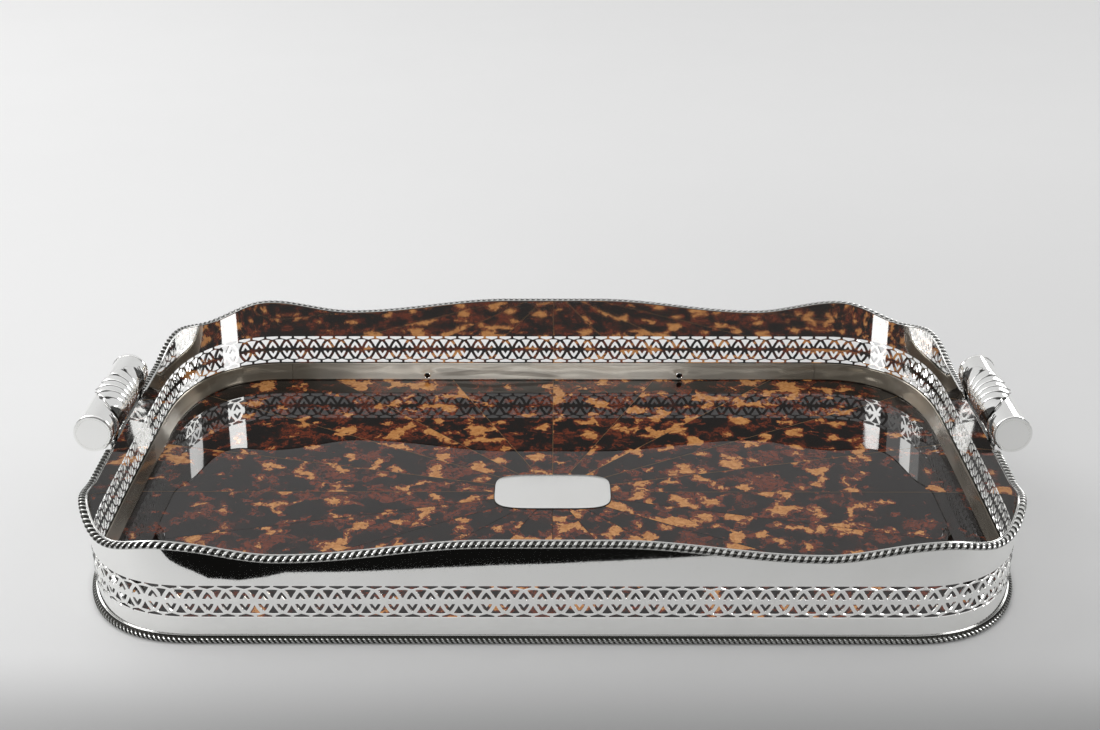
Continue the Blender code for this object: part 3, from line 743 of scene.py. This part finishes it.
def gadroon(pitch, depth, slant, lobed_places, gleam, narrowing=0.0, shadow_places=()):
    """Relief of slanted rope lobes between the first and last lobed place of an outline.

    A lobe's section is |cos|^lobe_fullness of the run length, shifted along the outline by slant pitches, a
    little more towards the top. The lobes fade out at both ends of their stretch by a power of a half sine.
    The shadow places get full painted shade, and so does all but a painted highlight, a gleam along each lobe,
    where |cos|, taken gleam_shift aside, is over its level. The level rises upwards, and by narrowing more in
    the upper half.
    """
    first, last = lobed_places

    def relief(s, place):
        share = np.clip((place - first) / (last - first), 0, 1)
        phase = math.pi * (s / pitch + slant * share ** lobe_curl)
        ridge = np.abs(np.cos(phase))
        fade = np.sin(math.pi * share) ** lobe_fade
        lit = np.abs(np.cos(phase + gleam_shift))
        level = gleam + gleam_rise * share + narrowing * np.maximum(share - 0.5, 0)
        # Painted shade over each lobe but for its painted highlight, and full painted shade at the shadow
        # places.
        painted_lobe_shade = np.clip((level - lit) / gleam_softness, 0, 1) * lobe_darkness * np.clip(2 * fade - 0.2, 0, 1)
        return depth * (1 - ridge ** lobe_fullness) * fade, np.maximum(painted_lobe_shade, np.isin(place, shadow_places))
    return relief


def arc(centre, radius, start, stop, count):
    """Points on an arc: centre plus radius (width, height) at turns from start to stop degrees."""
    turn = np.radians(np.linspace(start, stop, count))
    return np.stack([centre[0] + radius[0] * np.cos(turn), centre[1] + radius[1] * np.sin(turn)], 1)


def rim_outline():
    """Section of the rim: a big lobed round, a thin bead over the wall's top edge, and a fillet under it."""
    return np.concatenate([arc(*rim_lobe_arc), arc(*rim_bead_arc), rim_underside, arc(*rim_fillet_arc)])


def foot_outline():
    """Section of the foot: a big lobed round, a groove and a thin bead against the wall."""
    return np.concatenate([[(0.0, 0.0)], arc(*foot_lobe_arc), arc(*foot_bead_arc), [(0.0, foot_height)]])


def strip_outline():
    """Section of the strip beside the bed: a small round toe, and a slope that a half sine makes hollow."""
    t = np.linspace(0, 1, strip_slope_points + 1)[1:, None]
    low = np.array(strip_slope_low_shares)
    high = np.array(strip_slope_high_shares)
    slope = low + (high - low) * t + np.sin(math.pi * t) * (strip_hollow_share, 0)
    shares = np.concatenate([strip_toe_shares, slope, strip_top_shares])
    return (shares * (bead_projection, bead_height))[::-1]


def mouldings(plan, rope, strip_finish):
    """Gadroon rim at front and back, and gadroon foot and plain strip on each side."""
    straight = plan.corner_start
    half = plan.length / 2
    reach = plan.quarter - rim_stop
    rim_lobes = gadroon(rim_lobe_pitch, rim_lobe_depth, rim_lobe_slant, rim_lobed_places, rim_gleam)
    foot_lobes = gadroon(foot_lobe_pitch, foot_lobe_depth, foot_lobe_slant, foot_lobed_places, foot_gleam,
                         foot_gleam_narrowing, foot_shadow_places)
    for name, middle in (("front", 0.0), ("back", half)):
        moulding(plan, "rim_" + name, rim_outline(), middle - reach, middle + reach, touch_gap, plan.rim,
                 rope, "rim_moulding_" + name, rim_lobe_pitch / samples_per_lobe, rim_lobes)
    runs = {"front": (-straight, straight), "right_end": (straight, half - straight),
            "back": (half - straight, half + straight), "left_end": (half + straight, 2 * half - straight)}
    for name, (start, stop) in runs.items():
        start += touch_gap / 2
        stop -= touch_gap / 2
        moulding(plan, "foot_" + name, foot_outline(), start, stop, touch_gap, np.zeros_like, rope,
                 "foot_moulding_" + name, foot_lobe_pitch / samples_per_lobe, foot_lobes)
        moulding(plan, "bed_strip_" + name, strip_outline(), start, stop, -wall_thickness - touch_gap,
                 strip_foot, strip_finish, "panel_bead_" + name, strip_step, dents(plan))


def strip_foot(s):
    """Height of the strip's foot at run lengths s: a touch gap over the veneer."""
    return np.full_like(s, veneer_top() + touch_gap)


def dents(plan):
    """Relief of the strip: a shallow dish round each pin, a bell of the distance along and up the strip."""
    height = strip_outline()[:, 1]
    reach = bead_pin_place_share * tray_length / 2
    half = plan.length / 2

    def relief(s, place):
        total = np.zeros((len(s), len(height)))
        for pin in (-reach, reach, half - reach, half + reach):
            along = (s - pin) / dish_half_length
            up = (height[place] - bead_pin_height_share * bead_height) / dish_half_height
            total += np.exp(-np.hypot(along, up) ** 2)
        return dish_depth * total, 0 * total
    return relief


def strip_pins(material):
    """Pins through the strip: a shaft and a head with a raised ring round a sunk, domed middle."""
    for side, way in (("front", 1), ("back", -1)):
        for end in ("left", "right"):
            node = "bead_pin_%s_%s" % (side, end)
            low, high = (np.array(corner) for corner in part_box(node))
            middle = (low + high) / 2
            shaft_length = high[1] - low[1] - pin_head_height
            head_y = (low[1] if way < 0 else high[1]) - way * pin_head_height
            centre = (middle[0], head_y, middle[2])
            profile = [(pin_shaft_radius, -way * shaft_length)]
            profile += [(radius, way * along) for radius, along in pin_head_profile]
            # The head's sunk middle gets painted shade.
            turned_piece("strip_pin_%s_%s" % (side, end), profile, centre, material, node, 1, pin_sides,
                         (0, *pin_head_painted_shade))


def veneer_top():
    """Height of the veneer's upper face: board, touch gap and veneer over the board's underside."""
    return board_lift + board_thickness + touch_gap + veneer_thickness


def superellipse_radius(angle, length, width, fullness):
    """Distance from the middle to a superellipse outline in the direction angle.

    It is (|cos angle / half length|^fullness + |sin angle / half width|^fullness)^(-1 / fullness).
    """
    a = np.abs(np.cos(angle) / (length / 2)) ** fullness
    b = np.abs(np.sin(angle) / (width / 2)) ** fullness
    return (a + b) ** (-1 / fullness)


def name_plate(material):
    """Blank domed plate: rings of superellipses from its foot over a small rounded edge to the middle.

    The edge is a quarter round of inset and height. The dome rises by 1 - (1 - t)^2 as its rings close by t.
    """
    angle = np.linspace(0, 2 * math.pi, name_plate_sides, endpoint=False)
    radius = superellipse_radius(angle, name_plate_length, name_plate_width, name_plate_fullness)
    low = veneer_top() - veneer_thickness
    top = veneer_top() + name_plate_rise
    turn = np.linspace(0, math.pi / 2, name_plate_edge_points)
    dome = np.linspace(0, 1, name_plate_dome_rings + 2)[1:-1]
    edge_inset = name_plate_rise * (1 - np.cos(turn))
    edge_height = top - name_plate_rise * (1 - np.sin(turn))
    edge_radii = radius - np.concatenate([[0.0], edge_inset])[:, None]
    dome_radii = (radius - name_plate_rise) * (1 - dome[:, None])
    radii = np.concatenate([edge_radii, dome_radii])
    heights = np.concatenate([[low], edge_height, top + name_plate_dome * (1 - (1 - dome) ** 2)])[:, None]
    rings = np.stack([radii * np.cos(angle), radii * np.sin(angle) + bed_centre_y, heights + 0 * angle], -1)
    # Painted shade on the foot and the rounded edge.
    painted_shade = np.zeros((len(rings), 1))
    painted_shade[:len(name_plate_foot_painted_shade), 0] = name_plate_foot_painted_shade
    middles = np.array([(0, bed_centre_y, low), (0, bed_centre_y, top + name_plate_dome)])
    loft("blank_name_plate", rings, material, ("name_plate",), painted_shade, middles=middles)


def mount_bend():
    """Place along X of the leaf mount's wall side, and the height where its plate bends in over the wall."""
    wall_top = wave_height_shares[-1] * rim_height
    return tray_length / 2 + wall_flare * wave_height_shares[-1] + touch_gap, wall_top + mount_thickness


def grip_axis():
    """Place along X and height of the grip's axis, and the turn round it where the leaf plate meets it."""
    wall_side, bend = mount_bend()
    reach = grip_radius + touch_gap
    far = reach + grip_clearance
    across = reach - grip_overhang
    up = math.sqrt(far ** 2 - across ** 2)
    meet = math.acos(reach / far) - math.atan2(up, across)
    return wall_side + mount_thickness + across, bend + up, meet


def turned_piece(name, profile, centre, material, node, side, steps=72, painted_shade=None):
    """Turned piece round an axis along Y: profile of (radius, along), closed at both ends."""
    angle = np.linspace(0, 2 * math.pi, steps, endpoint=False)
    profile = np.array(profile)
    radius = profile[:, 0:1]
    rings = np.stack([centre[0] + radius * np.cos(angle), centre[1] + profile[:, 1:2] + 0 * angle,
                      centre[2] + radius * np.sin(angle)], -1)
    middles = np.array([(centre[0], centre[1] + profile[k, 1], centre[2]) for k in (0, -1)])
    flip = (side, 1, 1)
    if painted_shade is not None:
        painted_shade = np.array(painted_shade, float)[:, None]
    return loft(name, rings * flip, material, (node,), painted_shade, turned_sharp_angle,
                middles * flip)


def handle(side_name, side, plain, relief):
    """One handle, made for the right end and mirrored for the left: tube, two caps and the leaf mount."""
    axis_x, axis_z = grip_axis()[:2]
    grip_tube(side_name, side, axis_x, axis_z, plain)
    for end, way in (("front", -1), ("rear", 1)):
        profile = [(radius, way * along) for radius, along in cap_profile()]
        centre = (axis_x, way * (grip_length / 2 - cap_thickness), axis_z)
        turned_piece("%s_cap_%s" % (side_name, end), profile, centre, plain,
                     "%s_grip_cap_%s" % (side_name, end), side)
    leaf_mount(side_name, side, relief)


def grip_tube(side_name, side, axis_x, axis_z, material):
    """Tube with bevelled ends: a closed section of (radius, along) turned round the grip's axis."""
    half = grip_length / 2 - cap_thickness - touch_gap
    bore = grip_radius - grip_wall
    bevel = grip_radius - grip_bevel
    section = np.array([(bore, -half), (bevel, -half), (grip_radius, -half + grip_bevel),
                        (grip_radius, half - grip_bevel), (bevel, half), (bore, half)])
    angle = np.linspace(0, 2 * math.pi, grip_sides, endpoint=False)[:, None]
    rings = np.stack([axis_x + section[:, 0] * np.cos(angle), section[:, 1] + 0 * angle,
                      axis_z + section[:, 0] * np.sin(angle)], -1)
    count, size = rings.shape[:2]
    faces = grid_faces(count + 1, size, True) % (count * size)
    make_piece(side_name + "_tube", rings.reshape(-1, 3) * (side, 1, 1), [faces], material,
               (side_name + "_grip_tube",), angle=turned_sharp_angle)


def cap_profile():
    """Cap of the grip as (radius, along): spigot in the tube, bevelled lip, face with a turned groove."""
    edge = grip_radius + cap_lip
    spigot = grip_radius - grip_wall - touch_gap
    return [(spigot, -cap_spigot), (spigot, 0.0), (edge - grip_bevel, 0.0), (edge, grip_bevel),
            *((edge - inwards, cap_thickness - down) for inwards, down in cap_face),
            (cap_middle_radius, cap_thickness)]


def mount_edge(columns):
    """Length of the leaf mount's plate, from the skirt's foot to its edge, at places along the grip.

    The fan wraps the grip by a turn that falls with a power of the place, and dips between its lobes. The
    leaf at each end rises to a point.
    """
    reach = grip_radius + touch_gap
    meet = grip_axis()[2]
    across = np.abs(columns)
    fan = np.clip(across / fan_half_width, 0, 1)
    wrap_share = fan_wrap_low_share + (fan_wrap_high_share - fan_wrap_low_share) * (1 - fan ** fan_wrap_fall)
    wrap = math.pi * wrap_share
    ridge = np.abs(np.cos(math.pi * lobe_count * columns / (2 * fan_half_width)))
    scallop = 1 - fan_scallop_share * (1 - ridge ** fan_scallop_fullness)
    fan_edge = mount_skirt + mount_straight() + reach * (wrap * scallop - meet)
    leaf = (mount_straight() + reach * (end_leaf_turn - meet)) * leaf_peak(across) ** end_leaf_sharpness
    return np.where(across < fan_half_width, fan_edge, mount_skirt + end_leaf_lift + leaf)


def leaf_peak(across):
    """Share that rises straight from 0 to 1 over the middle of the leaf beside the fan, and falls again."""
    leaf_half = (mount_half_width - fan_half_width) / 2
    return np.clip(1 - np.abs(across - fan_half_width - leaf_half) / leaf_half, 0, 1)


def mount_straight():
    """Length of the straight stretch of the mount's plate between its bend over the wall and the grip."""
    reach = grip_radius + touch_gap
    return math.sqrt((reach + grip_clearance) ** 2 - reach ** 2)


def mount_path(above):
    """Places (x, z) and normals (x, z) along the mount's path: up the wall, straight in, and round the grip.

    above is the path's length above the bend, negative on the skirt.
    """
    axis_x, axis_z, meet = grip_axis()
    wall_side, bend = mount_bend()
    reach = grip_radius + touch_gap
    straight = mount_straight()
    turn = meet + np.maximum(above - straight, 0) / reach
    stretches = [above > straight, above <= 0]
    lean_in = np.clip(above, 0, straight)
    x = np.select(stretches, [axis_x - reach * np.cos(turn), wall_side + mount_thickness + 0 * above],
                  wall_side + mount_thickness + lean_in * math.sin(meet))
    z = np.select(stretches, [axis_z + reach * np.sin(turn), bend + above], bend + lean_in * math.cos(meet))
    normal_x = np.select(stretches, [-np.cos(turn), -1.0 + 0 * above], -math.cos(meet))
    normal_z = np.select(stretches, [np.sin(turn), 0 * above], math.sin(meet))
    return x, z, normal_x, normal_z


def mount_relief(columns, rise, path, edge):
    """Height and painted shade of the cast relief on the mount's plate.

    Each lobe is a low round, |cos|^0.5 of the place across it, between fine grooves with painted shade that
    close in towards the wall and widen at its tip, and has a faint vein in its lower half. Each end leaf is a
    round of the root of leaf_peak. Grooves and veins are bells of the distance to their middle. The veins, a
    band along the plate's edge and the skirt on the wall under the grip get painted shade too.
    """
    above = path - mount_skirt
    across = np.abs(columns)
    in_fan = across < fan_half_width
    leaf_middle = (mount_half_width + fan_half_width) / 2
    closing = (above + lobe_close_depth) / (edge - mount_skirt + lobe_close_depth)
    spread = np.clip(columns / np.clip(closing, lobe_close_share, 1), -fan_half_width, fan_half_width)
    phase = lobe_count * spread / (2 * fan_half_width)
    lobe = np.abs(np.cos(math.pi * phase))
    to_groove = np.abs(np.mod(phase, 1) - 0.5)
    to_middle = 0.5 - to_groove
    raised = np.clip(above / lobe_start_height, 0, 1)
    lower = np.clip((vein_stop_rise_share - rise) / vein_fade_rise_share, 0, 1)
    tip = np.clip((rise - tip_start_rise_share) / tip_fade_rise_share, 0, 1)
    groove_rise = np.clip((rise - groove_start_rise_share) / groove_fade_rise_share, 0, 1)
    groove = np.exp(-(to_groove / (groove_width_share + groove_flare_share * tip)) ** 2) * groove_rise
    vein = np.exp(-(to_middle / vein_width_share) ** 2) * lower * vein_painted_shade
    end_vein = np.exp(-((across - leaf_middle) / end_vein_width) ** 2)
    rim = np.clip((path - edge + edge_band) / edge_band, 0, 1)
    fan_relief = lobe_height * lobe ** 0.5 - vein_depth * vein
    end_relief = end_leaf_height * leaf_peak(across) ** 0.5 - vein_depth * end_vein
    relief = raised * np.where(in_fan, fan_relief, end_relief) * (1 - edge_sink_share * rim)
    # Painted shade in the grooves and veins, along the plate's edge and over the skirt.
    painted_shade = raised * np.where(in_fan, np.maximum(groove, vein), end_vein_painted_shade * end_vein)
    painted_shade = np.maximum(painted_shade, edge_painted_shade * rim ** 3 * (rise > edge_start_rise_share))
    return relief, np.where(above <= 0, skirt_painted_shade, painted_shade)


def leaf_mount(side_name, side, material):
    """Cast leaf mount: a plate that goes up the wall, in over it and round the grip, with a lobed edge.

    Columns run along the grip, and each goes up the path from the skirt's foot to the edge for its place: a
    fan of lobes and a pointed leaf at each end. The under face is the path, and the top is the path moved by
    thickness and relief along its normal.
    """
    columns = np.linspace(-mount_half_width, mount_half_width, mount_columns)[None, :]
    rise = np.linspace(0, 1, mount_rows)[:, None]
    edge = mount_edge(columns)
    path = rise * edge
    x, z, normal_x, normal_z = mount_path(path - mount_skirt)
    relief, painted_shade = mount_relief(columns, rise, path, edge)
    thick = np.where(path <= mount_skirt, mount_thickness, fan_thickness) + relief
    y = np.broadcast_to(columns, path.shape)
    flip = np.array([side, 1, 1])
    top = np.stack([x + normal_x * thick, y, z + normal_z * thick], -1) * flip
    under = np.stack([x, y, z], -1) * flip
    shell(side_name + "_leaf_casting", top, under, material, (side_name + "_leaf_mount",),
          painted_shade, mount_sharp_angle)


def bed(wood, plain):
    """Finish of the board, veneer panels, hidden pins, studs and cores, which stay as the frame has them.

    A panel's material has the lines of the two seams beside it, which are pale on the back half of the bed.
    """
    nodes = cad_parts
    half, full = math.pi, 2 * math.pi
    quadrant = np.array(seam_angle_shares) * half / 2
    turns = [quadrant, half - quadrant, half + quadrant, full - quadrant, [half / 2, half * 1.5]]
    seams = np.unique(np.round(np.concatenate(turns) % full, 6))
    for k in range(panel_count):
        name = "veneer_panel_%02d" % (k + 1)
        low, high = (np.array(corner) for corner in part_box(name))
        middle = (low + high) / 2
        angle = math.atan2(middle[1] - bed_centre_y, middle[0]) % full
        after = int(np.searchsorted(seams, angle))
        sides = (float(seams[after - 1]), float(seams[after % len(seams)]))
        line = tone(186, 150, 108) if pale_seam_turns[0] < angle < pale_seam_turns[1] else tone(18, 13, 10)
        shift = tuple(k * part for part in panel_shift)
        assign(nodes[name], tortoiseshell("tortoiseshell_%02d" % (k + 1), shift, panel_turn * k, sides, line))
    assign(nodes["base_board"], wood)
    for name, node in nodes.items():
        if "base_pin" in name or "stud_" in name:
            assign(node, plain)
        if name.endswith("grip_core"):
            assign(node, wood)


def assign(node, material):
    """Puts a material in all slots of a node of the frame."""
    for slot in node.material_slots:
        slot.material = material


def stage():
    """Paper from the table up behind it in a quarter round, and a dark card that only reflections see."""
    turn = np.linspace(0, math.pi / 2, sweep_points)
    y = np.concatenate([[sweep_front], sweep_back + sweep_radius * np.sin(turn), [sweep_back + sweep_radius]])
    z = np.concatenate([[0.0], sweep_radius * (1 - np.cos(turn)), [sweep_top]])
    x = np.array([-sweep_half_width, sweep_half_width])
    points = np.stack(np.broadcast_arrays(x[None, :], y[:, None], z[:, None]), -1).reshape(-1, 3)
    sheet = flat_sheet("paper_sweep", points, grid_faces(len(y), 2), sweep_paint())
    card_points = np.array([(*corner, card_lift) for corner in card_corners])
    dark = Paint("card_black").surface(Base_Color=tone(16, 16, 15), Roughness=0.8, Specular_IOR_Level=0.0)
    card = flat_sheet("dark_card", card_points, np.arange(len(card_points))[None, :], dark)
    card.visible_camera = False
    card.visible_diffuse = False
    card.visible_shadow = False


def flat_sheet(name, points, faces, material):
    """Object of a plain mesh that stands beside the tray and isn't part of it."""
    mesh = bpy.data.meshes.new(name)
    mesh.from_pydata(points.tolist(), [], faces.tolist())
    mesh.shade_smooth()
    mesh.materials.append(material)
    obj = bpy.data.objects.new(name, mesh)
    bpy.context.scene.collection.objects.link(obj)
    return obj


def area_light(name, location, size, power):
    """Rectangular lamp at location that faces the origin, its long side level."""
    light = bpy.data.lights.new(name, "AREA")
    light.shape = "RECTANGLE"
    light.size, light.size_y = size
    light.energy = power
    obj = bpy.data.objects.new(name, light)
    bpy.context.scene.collection.objects.link(obj)
    way = -np.array(location, float)
    way = way / np.linalg.norm(way)
    right = np.cross(way, (0.0, 0.0, 1.0))
    right = right / np.linalg.norm(right)
    obj.matrix_world = placed(right, np.cross(right, way), way, location)
    obj.visible_camera = False
    return obj


def placed(right, up, forward, location):
    """Matrix of a lamp or camera that looks along forward."""
    return Matrix([[right[k], up[k], -forward[k], location[k]] for k in range(3)] + [[0, 0, 0, 1]])


def lighting():
    """Soft studio light: a pale surround and a large light at the left.

    Reflections see the surround dark but for its top and back. Four bright panels low at the sides show only
    in reflections.
    """
    world = bpy.data.worlds.new("studio")
    bpy.context.scene.world = world
    world.use_nodes = True
    paint = Paint("studio", world.node_tree)
    y, z = paint.axes(paint.add("ShaderNodeTexCoord", output="Generated"))[1:]
    dark = (1 - y.step(*dark_fade_back)) * (1 - z.step(*dark_fade_up))
    glossy = paint.add("ShaderNodeLightPath", output="Is Glossy Ray")
    camera_ray = paint.add("ShaderNodeLightPath", output="Is Camera Ray")
    pale = surround_light + glossy.most(camera_ray) * (surround_seen - surround_light)
    strength = pale - glossy * dark * (surround_seen - surround_dark)
    shader = paint.add("ShaderNodeBackground", None, {"Color": (1, 1, 1, 1), "Strength": strength})
    paint.end("ShaderNodeOutputWorld", shader)
    area_light("key", key_place, key_size, key_power)
    for k, (from_x, from_y, to_x, to_y, glow) in enumerate(panel_places):
        width = math.hypot(to_x - from_x, to_y - from_y)
        middle = ((from_x + to_x) / 2, (from_y + to_y) / 2, panel_level)
        panel = area_light("side_panel_%d" % (k + 1), middle, (width, panel_height),
                           glow * math.pi * width * panel_height)
        panel.visible_diffuse = False


def camera():
    """Camera at the photograph's place."""
    data = bpy.data.cameras.new("camera")
    data.sensor_fit = "HORIZONTAL"
    data.sensor_width = 36
    data.lens = data.sensor_width * focal_pixels / frame_width_pixels
    data.clip_end = 20
    obj = bpy.data.objects.new("camera", data)
    bpy.context.scene.collection.objects.link(obj)
    level, down = math.cos(camera_elevation), math.sin(camera_elevation)
    forward = np.array([math.sin(camera_yaw) * level, math.cos(camera_yaw) * level, -down])
    right = np.array([math.cos(camera_yaw), -math.sin(camera_yaw), 0.0])
    up = np.cross(right, forward)
    across, along = math.cos(camera_roll), math.sin(camera_roll)
    obj.matrix_world = placed(across * right + along * up, across * up - along * right, forward, camera_place)
    bpy.context.scene.camera = obj


def main():
    """Makes every piece of the tray, its finishes, and the studio round it."""
    bpy.context.scene.view_settings.view_transform = "Standard"
    plan = Plan()
    plain = silver("silver_plain")
    relief = silver("silver_cast", roughness=0.08, with_painted_shade=True)
    # The mouldings' silver is a darker copy of the plain silver: painted shade that dims their reflections.
    rope = silver("silver_rope_painted_shade", shade=(0.56, 0.56, 0.545), roughness=0.12, with_painted_shade=True)
    gallery(plan, silver("silver_sheet", roughness=0.025))
    mouldings(plan, rope, worn_strip_with_painted_reflection())
    strip_pins(relief)
    name_plate(silver("silver_name_plate", roughness=0.14, with_painted_shade=True))
    for side_name, side in (("right", 1), ("left", -1)):
        handle(side_name, side, plain, relief)
    bed(board_wood(), plain)
    stage()
    lighting()
    camera()


main()
